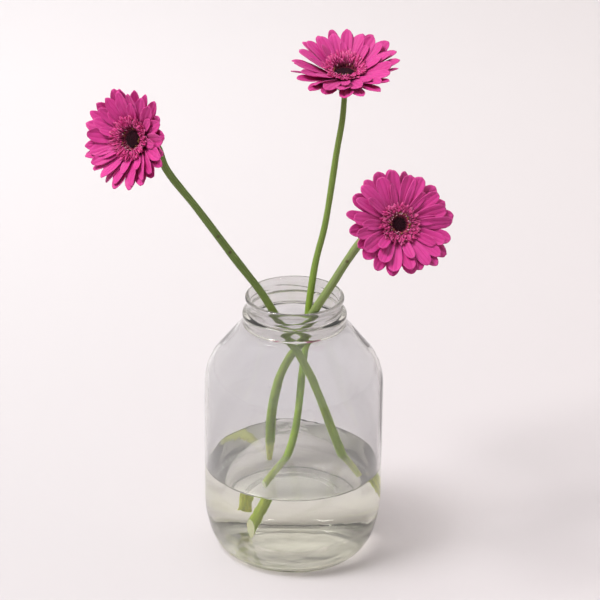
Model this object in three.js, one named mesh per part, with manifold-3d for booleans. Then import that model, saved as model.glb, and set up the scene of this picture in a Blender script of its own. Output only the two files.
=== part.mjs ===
// Three cut gerberas standing in a wide-necked glass jar of water.
// Millimetres, +Z up. The origin is the centre of the jar's foot, on the surface it stands on.
import * as THREE from 'three';
import { mergeVertices } from 'three/addons/utils/BufferGeometryUtils.js';
import Module from 'manifold-3d';

// Clear space between pieces that touch
const GAP = 0.3;

// The jar: a body with an elliptic heel, a round shoulder running into a cone, a bead and a threaded neck
const JAR = {
  sides: 32,
  bodyRadius: 75,
  footRadius: 56.5,
  heelHeight: 48.5,
  heelPower: 2 / 1.84,
  shoulderStart: 150.1,
  shoulderRadius: 45.9,
  shoulderSweep: 41.9,
  neckStart: 206,
  neckRadius: 39.6,
  neckBore: 36.8,
  beadRadius: 43.4,
  beadHeight: 213.8,
  lipRadius: 41.1,
  height: 230,
  wall: 3,
  floorEdge: 5,
  floorCentre: 8,
  floorRadius: 53,
};

// Slanted lug threads for a screw cap
const LUG = { count: 6, sweep: 60, start: 218.9, rise: 3.6, depth: 1.7, width: 2.2, sunk: 0.8, steps: 5 };

// Facets along the curves of the jar's outside and inside
const STEPS = { heelOutside: 6, heelInside: 4, shoulder: 3 };

const WATER_LEVEL = 77;
const STEM = { steps: 25, sides: 8 };

// A flower head is made in its own frame: its face looks along +Z, and z = 0 is the middle of its core
const HEAD = {
  eyeTop: 4.2,
  coreRadius: 10.2,
  coreBottom: -2.3,
  coreTop: 1.2,
  coreSides: 20,
  cupRadius: 9.6,
  cupBottom: -13,
  cupSides: 13,
  neckBottom: -18,
  stemTop: -9,
};

// Layers of ray petals from the back to the front: where they root, how far they reach and rise
const RAY_LAYERS = [
  { count: 20, root: -1.4, reach: 1, tilt: -5, width: 9.4 },
  { count: 18, root: -0.35, reach: 0.95, tilt: 1, width: 9.4 },
  { count: 8, root: 0.7, reach: 0.74, tilt: 4, width: 7.6 },
];
const RAY = { rootRadius: 7.6, thickness: 0.8, keel: 0.125, roll: 7, droop: 6 };
// Stations along a petal: share of its length and of its width
const RAY_STATIONS = [[0, 0.18], [0.42, 0.76], [0.8, 1], [1, 0.42]];

// Short florets of the ruff, in two rows that fan out over the rays
const RUFF_ROWS = [
  { count: 17, rootHeight: 3, reach: 17.6, above: 2.3, width: 2 },
  { count: 11, rootHeight: 3.9, reach: 13.4, above: 3.4, width: 1.8 },
];
const RUFF = { innerRadius: 7.1, outerRadius: 9.2, rootRadius: 8.1, top: 4.4, thickness: 0.8, sides: 14 };

// Dark centre of unopened florets
const EYE = { radius: 6.5, bottom: 1.5, shoulder: 2.4, sides: 16, rows: 5, relief: 0.6 };

// Green bracts that close round the cup
const BRACT = {
  count: 12,
  rootRadius: 7.6,
  rootHeight: -9.5,
  tipRadius: 14.2,
  below: 2,
  width: 3,
  thickness: 0.9,
};

// The three flowers. A face direction points out of the bloom's front. Rise is the petals' angle above
// the bloom's plane, and lean adds to it on the side at the azimuth leanSide. The stem's points run up
// from its cut end through the water and past the jar's neck, and it ends in the bloom's cup.
const FLOWERS = [
  {
    name: 'left',
    seed: 3,
    centre: [-126.8, -82, 397],
    face: [-0.58, -0.735, 0.35],
    reach: 42.4,
    rise: 30,
    lean: 5,
    leanSide: 135,
    stemRadius: [3.6, 2.9],
    cutSlant: 0.6,
    stem: [
      [57.2, 24.3, 19], [41.1, 11.3, 77], [30.3, 3.5, 111], [17.5, -8, 150.5], [6.7, -15.5, 177],
      [-2.8, -20.5, 198.6], [-17.6, -28, 228], [-28, -32.5, 247.5], [-47.5, -40, 278],
      [-77.8, -52, 326.9], [-102.4, -58, 363.8], [-108.3, -60, 381.6],
    ],
  },
  {
    name: 'top',
    seed: 8,
    centre: [39.1, 60, 404.8],
    face: [0, -0.118, 0.993],
    reach: 47.3,
    rise: 28,
    lean: 16,
    leanSide: 90,
    stemRadius: [3.4, 2.4],
    cutSlant: 1.6,
    stem: [
      [-26.6, 7, 12.1], [-5.7, 6.5, 77], [-0.7, 8, 93.6], [3.7, 10, 114.7], [7.9, 18, 158.4],
      [11, 25, 200.5], [14.3, 30.19, 228], [17.4, 36, 246], [24.5, 43, 275], [33.6, 53, 338],
      [37.7, 57, 363.9],
    ],
  },
  {
    name: 'right',
    seed: 14,
    centre: [82.8, -62, 320.3],
    face: [0.28, -0.854, 0.439],
    reach: 44.2,
    rise: 15,
    lean: 13,
    leanSide: 255,
    stemRadius: [4, 3.3],
    cutSlant: 0.4,
    stem: [
      [-20.4, 56.6, 14.2], [-19.8, 37.4, 77], [-18.9, 28, 107], [-13.3, 14, 143], [-4, 3, 170.6],
      [4.2, -8, 191], [15.8, -28.7, 228], [29.8, -33, 253.9], [42.6, -36, 277.9], [54.8, -35, 295.4],
      [66, -34.5, 303.5],
    ],
  },
];

const LOOKS = {
  glass: { color: 0xd9dcd6, roughness: 0.03, metalness: 0, transparent: true, opacity: 0.35 },
  water: { color: 0xd4d2bc, roughness: 0.02, metalness: 0, transparent: true, opacity: 0.55 },
  stem: { color: 0x7f9a4a, roughness: 0.55, metalness: 0 },
  rays: { color: 0xd6338f, roughness: 0.6, metalness: 0 },
  ruff: { color: 0xb32a74, roughness: 0.65, metalness: 0 },
  eye: { color: 0x1e0712, roughness: 0.8, metalness: 0 },
};

const wasm = await Module();
wasm.setup();

const radians = THREE.MathUtils.degToRad;

// A repeatable number from 0 to 1 for item i of a series
function chance(i, series) {
  const wave = Math.sin(i * 12.9898 + series * 78.233) * 43758.5453;
  return wave - Math.floor(wave);
}

// The same, spread evenly round zero
function spread(i, series, amount) {
  return (2 * chance(i, series) - 1) * amount;
}

// A closed geometry as a solid that can be cut and joined
function solid(geometry) {
  geometry.deleteAttribute('normal');
  geometry.deleteAttribute('uv');
  const merged = mergeVertices(geometry, 1e-4);
  return new wasm.Manifold(new wasm.Mesh({
    numProp: 3,
    vertProperties: new Float32Array(merged.attributes.position.array),
    triVerts: new Uint32Array(merged.index.array),
  }));
}

// A solid as a named mesh in one look
function meshOf(name, body, look) {
  const { vertProperties, triVerts } = body.getMesh();
  const geometry = new THREE.BufferGeometry();
  geometry.setAttribute('position', new THREE.BufferAttribute(vertProperties, 3));
  geometry.setIndex(new THREE.BufferAttribute(triVerts, 1));
  geometry.computeVertexNormals();
  const mesh = new THREE.Mesh(geometry, new THREE.MeshStandardMaterial(look));
  mesh.name = name;
  return mesh;
}

// A solid turned about Z from [radius, height] points that start and end on the axis
function turned(points, sides) {
  const profile = points.map(([r, z]) => new THREE.Vector2(r, z));
  return solid(new THREE.LatheGeometry(profile, sides).rotateX(Math.PI / 2));
}

// A closed skin over rings of points, with the same count in each ring and a flat cap at each end
function skinned(rings) {
  const count = rings[0].length;
  const last = (rings.length - 1) * count;
  const faces = [];
  for (let i = 0; i < rings.length - 1; i += 1) {
    for (let j = 0; j < count; j += 1) {
      const a = i * count + j;
      const b = i * count + (j + 1) % count;
      faces.push(a, b, a + count, b, b + count, a + count);
    }
  }
  for (let j = 1; j < count - 1; j += 1) {
    faces.push(0, j + 1, j, last, last + j, last + j + 1);
  }
  const places = rings.flat().flatMap((point) => point.toArray());
  const geometry = new THREE.BufferGeometry();
  geometry.setAttribute('position', new THREE.Float32BufferAttribute(places, 3));
  geometry.setIndex(faces);
  return solid(geometry);
}

// Points of a superellipse quarter, from its low end on the floor to its high end on the wall
function heelCurve(startRadius, endRadius, bottom, top, steps) {
  return Array.from({ length: steps }, (_, i) => {
    const angle = (Math.PI / 2) * (i + 1) / steps;
    const share = Math.sin(angle) ** JAR.heelPower;
    return [
      startRadius + (endRadius - startRadius) * share,
      bottom + (top - bottom) * (1 - Math.cos(angle)),
    ];
  });
}

// Points of the shoulder's arc, from the wall up to the cone, on a radius about the arc's centre
function shoulderCurve(radius, steps) {
  const centre = JAR.bodyRadius - JAR.shoulderRadius;
  return Array.from({ length: steps + 1 }, (_, i) => {
    const angle = radians(JAR.shoulderSweep) * i / steps;
    return [centre + radius * Math.cos(angle), JAR.shoulderStart + radius * Math.sin(angle)];
  });
}

function jarOutside() {
  const { beadRadius, beadHeight, neckRadius, lipRadius, height } = JAR;
  return [
    [0, 0],
    [JAR.footRadius, 0],
    ...heelCurve(JAR.footRadius, JAR.bodyRadius, 0, JAR.heelHeight, STEPS.heelOutside),
    ...shoulderCurve(JAR.shoulderRadius, STEPS.shoulder),
    [neckRadius + 1, JAR.neckStart],
    [neckRadius + 0.8, beadHeight - 3],
    [beadRadius - 0.7, beadHeight - 2],
    [beadRadius, beadHeight],
    [beadRadius - 0.7, beadHeight + 2],
    [neckRadius, beadHeight + 3.2],
    [neckRadius, height - 4.5],
    [lipRadius, height - 3],
    [lipRadius, height - 1.4],
    [lipRadius - 1, height - 0.2],
    [lipRadius - 2, height],
  ];
}

// The inside from the lip down to the middle of the floor, moved inwards by a clearance
function jarInside(clearance = 0) {
  const { bodyRadius, wall, neckBore, height, floorEdge, floorCentre, floorRadius } = JAR;
  const heel = heelCurve(floorRadius - clearance, bodyRadius - wall - clearance,
    floorEdge + clearance, JAR.heelHeight, STEPS.heelInside);
  const slope = radians(JAR.shoulderSweep);
  const coneTop = [neckBore + 1.6, JAR.neckStart - wall * Math.sin(slope)];
  return [
    [neckBore + 1, height - 0.5],
    [neckBore + 0.2, height - 1.8],
    [neckBore, height - 4],
    [neckBore, JAR.neckStart + 1],
    coneTop,
    ...shoulderCurve(JAR.shoulderRadius - wall, STEPS.shoulder).reverse(),
    ...heel.reverse(),
    [floorRadius - clearance, floorEdge + clearance],
    [floorRadius / 2, (floorEdge + floorCentre) / 2 + 0.4 + clearance],
    [0, floorCentre + clearance],
  ];
}

// One thread ridge: a small wedge that climbs round the neck, its root sunk in the wall
function lug(index) {
  const start = radians(index * 360 / LUG.count);
  const rings = [];
  for (let i = 0; i <= LUG.steps; i += 1) {
    const share = i / LUG.steps;
    const angle = start + radians(LUG.sweep) * share;
    const z = LUG.start + LUG.rise * share;
    const swell = Math.min(1, 0.25 + 4 * Math.min(share, 1 - share));
    const out = JAR.neckRadius + LUG.depth * swell;
    const section = [
      [JAR.neckRadius - LUG.sunk, z - LUG.width / 2],
      [out, z - LUG.width / 4],
      [out, z + LUG.width / 4],
      [JAR.neckRadius - LUG.sunk, z + LUG.width / 2],
    ];
    rings.push(section.map(([r, h]) => new THREE.Vector3(r * Math.cos(angle), r * Math.sin(angle), h)));
  }
  return skinned(rings.reverse());
}

function jar() {
  let body = turned([...jarOutside(), ...jarInside()], JAR.sides);
  for (let i = 0; i < LUG.count; i += 1) {
    body = body.add(lug(i));
  }
  return body;
}

// The water fills the jar's inside up to its level, with a hole for each stem
function water(holes) {
  const inside = jarInside(GAP).filter(([, z]) => z < JAR.heelHeight + 1).reverse();
  const wallRadius = JAR.bodyRadius - JAR.wall - GAP;
  let body = turned([...inside, [wallRadius, WATER_LEVEL], [0, WATER_LEVEL]], JAR.sides);
  for (const hole of holes) {
    body = body.subtract(hole);
  }
  return body;
}

// The bloom's frame: x runs level and y up the bloom's face, both as seen from its front
function headFrame(flower) {
  const face = new THREE.Vector3(...flower.face).normalize();
  const across = new THREE.Vector3(0, 0, 1).cross(face).normalize();
  const upwards = face.clone().cross(across);
  const origin = new THREE.Vector3(...flower.centre).addScaledVector(face, -HEAD.eyeTop);
  return new THREE.Matrix4().makeBasis(across, upwards, face).setPosition(origin);
}

// The stem's middle line, from the cut end up to a point inside the bloom's cup
function stemCurve(flower) {
  const frame = headFrame(flower);
  const neck = new THREE.Vector3(0, 0, HEAD.neckBottom).applyMatrix4(frame);
  const top = new THREE.Vector3(0, 0, HEAD.stemTop).applyMatrix4(frame);
  const points = flower.stem.map((p) => new THREE.Vector3(...p));
  return new THREE.CatmullRomCurve3([...points, neck, top], false, 'centripetal');
}

// A round stem, thicker towards its foot, with a slanted cut. Grow thickens and lengthens it.
function stemTube(flower, grow = 0) {
  const { steps, sides } = STEM;
  const curve = stemCurve(flower);
  const { tangents, normals, binormals } = curve.computeFrenetFrames(steps, false);
  const [footRadius, topRadius] = flower.stemRadius;
  const rings = [];
  for (let i = 0; i <= steps; i += 1) {
    const share = i / steps;
    const radius = footRadius + (topRadius - footRadius) * share + grow;
    const middle = curve.getPointAt(share);
    const ring = [];
    for (let j = 0; j < sides; j += 1) {
      const angle = 2 * Math.PI * j / sides;
      const point = middle.clone()
        .addScaledVector(normals[i], radius * Math.cos(angle))
        .addScaledVector(binormals[i], radius * Math.sin(angle));
      if (i === 0) {
        point.addScaledVector(tangents[0], flower.cutSlant * radius * Math.cos(angle) - 2 * grow);
      }
      ring.push(point);
    }
    rings.push(ring);
  }
  return skinned(rings);
}

// The rays' angle above the bloom's plane at an azimuth, in radians
function riseAt(flower, azimuth) {
  return radians(flower.rise + flower.lean * Math.cos(azimuth - radians(flower.leanSide)));
}

// Sections of a blade as [side, up] points: a petal has sharp edges and its middle sinks to a keel
function petalSection(half) {
  const top = RAY.thickness / 2 - RAY.keel * half;
  return [[half, 0], [0, top], [-half, 0], [0, top - RAY.thickness]];
}

// A ruff floret is flat below and ridged above
function floretSection(half) {
  const up = RUFF.thickness / 2;
  return [[half, -up], [0, up], [-half, -up]];
}

// A bract is flat on its inside and ridged on its outside
function bractSection(half) {
  const up = BRACT.thickness / 2;
  return [[half, up], [-half, up], [0, -up]];
}

// A thin blade along a path in the upright plane at an azimuth. Each station is a path point [r, z] with
// the blade's width there. Roll tips it about its length, and yaw swings it about its root.
function blade(azimuth, stations, sectionAt, roll = 0, yaw = 0) {
  const root = stations[0][0];
  const axis = new THREE.Vector3(0, 0, 1);
  const rings = stations.map(([r, z, width], i) => {
    const [r0, z0] = stations[Math.max(0, i - 1)];
    const [r1, z1] = stations[Math.min(stations.length - 1, i + 1)];
    const along = new THREE.Vector2(r1 - r0, z1 - z0).normalize();
    return sectionAt(width / 2).map(([side, up]) => {
      const y = side * Math.cos(roll) - up * Math.sin(roll);
      const lift = side * Math.sin(roll) + up * Math.cos(roll);
      const point = new THREE.Vector3(r - lift * along.y - root, y, z + lift * along.x);
      point.applyAxisAngle(axis, yaw);
      point.x += root;
      return point.applyAxisAngle(axis, azimuth);
    });
  });
  return skinned(rings);
}

// Middle line of a ray petal: it leaves the core at its rise and bends back towards its tip
function petalPath(layer, rise, length) {
  const slope = rise + radians(layer.tilt + RAY.droop / 2);
  const bend = -radians(RAY.droop);
  return RAY_STATIONS.map(([share, width]) => {
    const r = RAY.rootRadius + length * (Math.sin(slope + bend * share) - Math.sin(slope)) / bend;
    const z = layer.root + length * (Math.cos(slope) - Math.cos(slope + bend * share)) / bend;
    return [r, z, width * layer.width];
  });
}

function petal(flower, layer, layerIndex, i) {
  const series = flower.seed + 10 * layerIndex;
  const step = 2 * Math.PI / layer.count;
  const azimuth = step * (i + 0.5 * (layerIndex % 2) + spread(i, series, 0.16));
  const rise = riseAt(flower, azimuth) + radians(spread(i, series + 1, 1.6));
  const length = (flower.reach * layer.reach - RAY.rootRadius) * (1 + spread(i, series + 2, 0.06));
  const roll = radians(RAY.roll + spread(i, series + 3, 3));
  const yaw = radians(spread(i, series + 4, 3));
  return blade(azimuth, petalPath(layer, rise, length), petalSection, roll, yaw);
}

// Core and ray petals, joined at their sunk roots
function rays(flower) {
  const core = turned([
    [0, HEAD.coreBottom], [HEAD.coreRadius - 1.4, HEAD.coreBottom], [HEAD.coreRadius, -0.6],
    [HEAD.coreRadius - 1, HEAD.coreTop], [0, HEAD.coreTop],
  ], HEAD.coreSides);
  const petals = RAY_LAYERS.flatMap((layer, k) =>
    Array.from({ length: layer.count }, (_, i) => petal(flower, layer, k, i)));
  return wasm.Manifold.union([core, ...petals]);
}

// A height clear above the highest ray layer at a radius, measured from the bloom's plane
function aboveRays(flower, azimuth, radius, clear) {
  const upper = RAY_LAYERS[RAY_LAYERS.length - 1];
  const slope = riseAt(flower, azimuth) + radians(upper.tilt + RAY.droop / 2);
  return upper.root + (radius - RAY.rootRadius) * Math.tan(slope) + clear / Math.cos(slope);
}

function ruffFloret(flower, row, rowIndex, i) {
  const series = flower.seed + 50 + 10 * rowIndex;
  const azimuth = 2 * Math.PI * (i + 0.5 * rowIndex + spread(i, series, 0.2)) / row.count;
  const reach = row.reach * (1 + spread(i, series + 1, 0.05));
  const rootRadius = RUFF.rootRadius;
  const tipHeight = aboveRays(flower, azimuth, reach, row.above + 0.8 * chance(i, series + 2));
  const path = [[0, 0.7], [0.55, 1], [1, 0.5]].map(([share, width]) => [
    rootRadius + (reach - rootRadius) * share,
    row.rootHeight + (tipHeight - row.rootHeight) * share ** 0.9,
    width * row.width,
  ]);
  return blade(azimuth, path, floretSection);
}

// Ring of short florets that stands on the core round the dark centre
function ruff(flower) {
  const { innerRadius, outerRadius, top } = RUFF;
  const bottom = HEAD.coreTop + GAP;
  const profile = [
    [innerRadius, bottom], [innerRadius + 0.4, bottom], [outerRadius, bottom + 2.1],
    [outerRadius - 1, top], [innerRadius, top - 0.5], [innerRadius, bottom],
  ];
  const ring = turned(profile, RUFF.sides);
  const florets = RUFF_ROWS.flatMap((row, k) =>
    Array.from({ length: row.count }, (_, i) => ruffFloret(flower, row, k, i)));
  return wasm.Manifold.union([ring, ...florets]);
}

// A low dome whose surface rises and dips from one unopened floret to the next
function eye() {
  const { radius, bottom, shoulder, sides, rows, relief } = EYE;
  const profile = [new THREE.Vector2(0, bottom), new THREE.Vector2(radius - 0.3, bottom)];
  for (let k = 0; k <= rows; k += 1) {
    const share = 1 - k / rows;
    const height = shoulder + (HEAD.eyeTop - relief - shoulder) * (1 - share ** 2);
    profile.push(new THREE.Vector2(radius * share, height));
  }
  const geometry = new THREE.LatheGeometry(profile, sides).rotateX(Math.PI / 2);
  const places = geometry.attributes.position;
  for (let i = 0; i < places.count; i += 1) {
    const row = i % profile.length - 2;
    const column = Math.floor(i / profile.length) % sides;
    if (row >= 0 && row < rows) {
      places.setZ(i, places.getZ(i) + relief * ((row + column) % 2));
    }
  }
  return solid(geometry);
}

// One bract: it lies along the cup and its tip turns out under the rays
function bract(flower, i) {
  const azimuth = 2 * Math.PI * i / BRACT.count;
  const reach = BRACT.tipRadius + spread(i, flower.seed + 80, 0.8);
  const lowest = RAY_LAYERS[0];
  const slope = riseAt(flower, azimuth) + radians(lowest.tilt);
  const climb = (reach - RAY.rootRadius) * Math.tan(slope);
  const tipHeight = lowest.root - BRACT.below + Math.min(climb, 0.7 * climb);
  const middle = (BRACT.rootHeight + 2 * tipHeight) / 3 - 0.8;
  return blade(azimuth, [
    [BRACT.rootRadius, BRACT.rootHeight, BRACT.width * 0.7],
    [HEAD.cupRadius + 0.8, middle, BRACT.width],
    [reach, tipHeight, BRACT.width * 0.25],
  ], bractSection);
}

// A solid of the flower head, moved from the head's frame to its place
function inPlace(flower, body) {
  return body.transform(headFrame(flower).toArray());
}

// Stem, cup and bracts, which grow as one green piece
function stem(flower) {
  const { cupRadius, cupBottom, coreBottom } = HEAD;
  const top = coreBottom - GAP;
  const cup = turned([
    [0, cupBottom], [flower.stemRadius[1], cupBottom], [cupRadius * 0.62, cupBottom + 1.8],
    [cupRadius * 0.9, cupBottom + 4.4], [cupRadius, cupBottom + 7.5], [cupRadius - 0.3, top], [0, top],
  ], HEAD.cupSides);
  const bracts = Array.from({ length: BRACT.count }, (_, i) => bract(flower, i));
  return inPlace(flower, wasm.Manifold.union([cup, ...bracts])).add(stemTube(flower));
}

const bouquet = new THREE.Group();
const holes = FLOWERS.map((flower) => stemTube(flower, GAP + 0.1));
bouquet.add(meshOf('jar', jar(), LOOKS.glass));
bouquet.add(meshOf('water', water(holes), LOOKS.water));
for (const flower of FLOWERS) {
  bouquet.add(meshOf(`${flower.name}_stem`, stem(flower), LOOKS.stem));
  bouquet.add(meshOf(`${flower.name}_rays`, inPlace(flower, rays(flower)), LOOKS.rays));
  bouquet.add(meshOf(`${flower.name}_ruff`, inPlace(flower, ruff(flower)), LOOKS.ruff));
  bouquet.add(meshOf(`${flower.name}_eye`, inPlace(flower, eye()), LOOKS.eye));
}

export default bouquet;
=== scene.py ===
import math

import bmesh
import bpy
import numpy as np
from mathutils import Matrix, Vector


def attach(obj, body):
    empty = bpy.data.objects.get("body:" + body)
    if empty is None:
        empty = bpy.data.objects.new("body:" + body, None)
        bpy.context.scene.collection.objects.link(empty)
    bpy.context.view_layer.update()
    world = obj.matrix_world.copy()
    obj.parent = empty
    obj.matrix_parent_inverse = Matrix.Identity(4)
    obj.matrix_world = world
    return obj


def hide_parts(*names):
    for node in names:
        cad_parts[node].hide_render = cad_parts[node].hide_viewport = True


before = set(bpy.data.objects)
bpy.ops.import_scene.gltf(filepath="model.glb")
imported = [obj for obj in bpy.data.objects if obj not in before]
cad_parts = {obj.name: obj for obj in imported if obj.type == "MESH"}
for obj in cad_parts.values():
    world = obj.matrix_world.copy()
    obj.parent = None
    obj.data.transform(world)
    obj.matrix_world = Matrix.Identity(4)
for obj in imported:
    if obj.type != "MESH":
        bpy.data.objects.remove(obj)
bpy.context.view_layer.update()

# Three cut gerberas in a wide-necked glass jar of water. The sizes below are in millimetres, as in the
# CAD, and the meshes are made in metres.
MM = 0.001

# The camera, fitted to the photograph: millimetres and degrees, with the focal length in image pixels
CAMERA = {"distance": 2200, "elevation": 24.21, "roll": 0.65, "target": (4.36, 0, 225.42), "focal": 2660.4}
IMAGE_WIDTH = 600
SENSOR_WIDTH = 36

JAR = {
    "sides": 360,
    "body_radius": 75,
    "foot_radius": 56.5,
    "heel_height": 48.5,
    "heel_power": 2 / 1.84,
    "shoulder_start": 150.1,
    "shoulder_radius": 45.9,
    "shoulder_sweep": 41.9,
    "neck_start": 206,
    "neck_radius": 39.6,
    "neck_bore": 36.8,
    "bead_radius": 43.4,
    "bead_height": 213.8,
    "lip_radius": 41.1,
    "height": 230,
    "wall": 3,
    "floor_edge": 5,
    "floor_centre": 8,
    "floor_radius": 53,
    "punt_radius": 38,
    "punt_depth": 3.4,
    "hollow_depth": 1.2,
    "foot_width": 4,
    "foot_gap": 0.9,
    "knurls": 120,
    "knurl_ring": 54.4,
    "knurl_width": 0.8,
}
LUG = {"count": 6, "sweep": 60, "start": 218.9, "rise": 3.6, "depth": 1.2, "width": 0.65}
WATER = {
    "sides": 192, "level": 77, "overlap": 0.2, "meniscus": 0.35, "reach": 1.3, "collar": 0.7,
    "collar_reach": 1.2,
}
DROPS = {"count": 34, "above": 3, "climb": 60, "size": 0.35, "growth": 0.75, "height": 0.55}

# A flower head is made in its own frame: its face looks along +Z, and z = 0 is the middle of its core
EYE_TOP = 4.2
CORE = {"radius": 10.2, "bottom": -2.3}
CUP = [(-13, 3.0), (-12.2, 4.4), (-11.2, 5.9), (-9.8, 7.5), (-8.2, 8.7), (-6, 9.4), (-4, 9.55), (-2.6, 9.2)]
NECK_BOTTOM = -18
STEM_TOP = -9

RAY_LAYERS = [
    {"count": 20, "root": -1.4, "reach": 1, "tilt": -5, "width": 11.2},
    {"count": 18, "root": -0.35, "reach": 0.95, "tilt": 1, "width": 11},
    {"count": 8, "root": 0.7, "reach": 0.74, "tilt": 4, "width": 7.4},
]
RAY = {"root_radius": 7.6, "roll": 7, "droop": 6}

# Rows of small ruff florets from the outside in: where they root, where their tips reach, and how far
# the tips stand above the rays
RUFF_ROWS = [
    {"count": 46, "root": 9.2, "height": 2.0, "reach": 17.6, "above": 1.5, "width": 2.2},
    {"count": 46, "root": 9.1, "height": 2.8, "reach": 16.2, "above": 2.2, "width": 2.1},
    {"count": 42, "root": 8.9, "height": 3.4, "reach": 14.7, "above": 2.8, "width": 2.0},
    {"count": 38, "root": 8.6, "height": 3.8, "reach": 13.1, "above": 3.2, "width": 1.9},
    {"count": 34, "root": 8.3, "height": 4.0, "reach": 11.6, "above": 3.5, "width": 1.8},
    {"count": 30, "root": 8.0, "height": 4.1, "reach": 10.2, "above": 3.5, "width": 1.6},
]

# The low skirt under the ruff, a dark sheet of painted shade: how far out each of its rings is, and how far
# above the rays
SKIRT = [(11, 0.5), (14.6, 0.6), (15, 1.0), (14, 1.5), (12, 2.1), (10.2, 2.4)]

THREADS = {"count": 70, "height": 2.7, "length": 3.7, "width": 0.8}
EYE = {"radius": 6.6, "shoulder": 3.0, "buds": 110, "bud": 0.62, "stretch": 1.25}
HAIRS = {"count": 900, "width": 0.06, "length": 7, "growth": 6}
BRACT_ROWS = [
    {"count": 12, "root": 7.9, "height": -9.8, "reach": 14.0, "tip": 0, "width": 3.3, "phase": 0},
    {"count": 12, "root": 6.2, "height": -11.6, "reach": 11.3, "tip": -4.6, "width": 2.9, "phase": 0.5},
]

# Face directions, rises, leans and stem points are those of the CAD
FLOWERS = [
    {
        "name": "left",
        "seed": 3,
        "disc": 6.8,
        "centre": (-126.8, -82, 397),
        "face": (-0.58, -0.735, 0.35),
        "petal_tip": (0.66, 0.27),
        "reach": 42.4,
        "rise": 30,
        "lean": 5,
        "lean_side": 135,
        "stem_radius": (3.6, 2.9),
        "cut_slant": 0.6,
        "cut_faces": (0.4, -0.9, 0.2),
        "end_trim": 0,
        "end_share": 0.9,
        "end_run": 26,
        "stem": [
            (57.2, 24.3, 19), (41.1, 11.3, 77), (30.3, 3.5, 111), (17.5, -8, 150.5), (6.7, -15.5, 177),
            (-2.8, -20.5, 198.6), (-17.6, -28, 228), (-28, -32.5, 247.5), (-47.5, -40, 278),
            (-77.8, -52, 326.9), (-102.4, -58, 363.8), (-108.3, -60, 381.6),
        ],
    },
    {
        "name": "top",
        "seed": 8,
        "disc": 7.8,
        "centre": (39.1, 60, 404.8),
        "face": (0, -0.118, 0.993),
        "petal_tip": (0.74, 0.21),
        "reach": 47.3,
        "rise": 28,
        "lean": 16,
        "lean_side": 90,
        "stem_radius": (3.4, 2.4),
        "cut_slant": 2.3,
        "cut_faces": (-0.82, -0.55, 0.2),
        "end_trim": 7,
        "end_share": 1.0,
        "end_run": 26,
        "stem": [
            (-26.6, 7, 12.1), (-5.7, 6.5, 77), (-0.7, 8, 93.6), (3.7, 10, 114.7), (7.9, 18, 158.4),
            (11, 25, 200.5), (14.3, 30.19, 228), (17.4, 36, 246), (24.5, 43, 275), (33.6, 53, 338),
            (37.7, 57, 363.9),
        ],
    },
    {
        "name": "right",
        "seed": 14,
        "disc": 5.6,
        "centre": (82.8, -62, 320.3),
        "face": (0.28, -0.854, 0.439),
        "petal_tip": (0.78, 0.17),
        "reach": 44.2,
        "rise": 15,
        "lean": 13,
        "lean_side": 255,
        "stem_radius": (4, 3.3),
        "cut_slant": 0.4,
        "cut_faces": (-0.4, -0.9, 0.2),
        "end_trim": 0,
        "end_share": 0.5,
        "end_run": 62,
        "stem": [
            (-20.4, 56.6, 14.2), (-19.8, 37.4, 77), (-18.9, 28, 107), (-13.3, 14, 143), (-4, 3, 170.6),
            (4.2, -8, 191), (15.8, -28.7, 228), (29.8, -33, 253.9), (42.6, -36, 277.9),
            (54.8, -35, 295.4), (66, -34.5, 303.5),
        ],
    },
]


def chance(i, series):
    """A repeatable number from 0 to 1 for item i of a series, by the CAD's rule."""
    wave = math.sin(i * 12.9898 + series * 78.233) * 43758.5453
    return wave - math.floor(wave)


def spread(i, series, amount):
    return (2 * chance(i, series) - 1) * amount


# Node trees

class Value:
    """An output socket that Python's arithmetic works on. Each operation adds one Math node."""

    def __init__(self, graph, socket):
        self.graph = graph
        self.socket = socket

    def _math(self, operation, *values):
        sockets = dict(enumerate(values))
        return self.graph.add("ShaderNodeMath", {"operation": operation}, sockets)

    def __add__(self, other):
        return self._math("ADD", self, other)

    def __radd__(self, other):
        return self._math("ADD", other, self)

    def __sub__(self, other):
        return self._math("SUBTRACT", self, other)

    def __rsub__(self, other):
        return self._math("SUBTRACT", other, self)

    def __mul__(self, other):
        return self._math("MULTIPLY", self, other)

    def __rmul__(self, other):
        return self._math("MULTIPLY", other, self)

    def __truediv__(self, other):
        return self._math("DIVIDE", self, other)

    def __pow__(self, other):
        return self._math("POWER", self, other)

    def __neg__(self):
        return self._math("MULTIPLY", self, -1)

    def __abs__(self):
        return self._math("ABSOLUTE", self)

    def sin(self):
        return self._math("SINE", self)

    def cos(self):
        return self._math("COSINE", self)

    def sqrt(self):
        return self._math("SQRT", self)

    def exp(self):
        return self._math("EXPONENT", self)

    def at_least(self, low):
        return self._math("MAXIMUM", self, low)

    def at_most(self, high):
        return self._math("MINIMUM", self, high)

    def direction(self, other):
        """The angle of the point that lies other along and this much across."""
        return self._math("ARCTAN2", self, other)

    def bell(self, centre, width):
        """1 at the centre, falling off to both sides."""
        away = (self - centre) / width
        return (-(away * away)).exp()

    def ramp(self, low, high):
        """0 below low, 1 above high, and smooth between."""
        settings = {"interpolation_type": "SMOOTHSTEP"}
        sockets = {"Value": self, "From Min": low, "From Max": high}
        return self.graph.add("ShaderNodeMapRange", settings, sockets, "Result")


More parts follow.
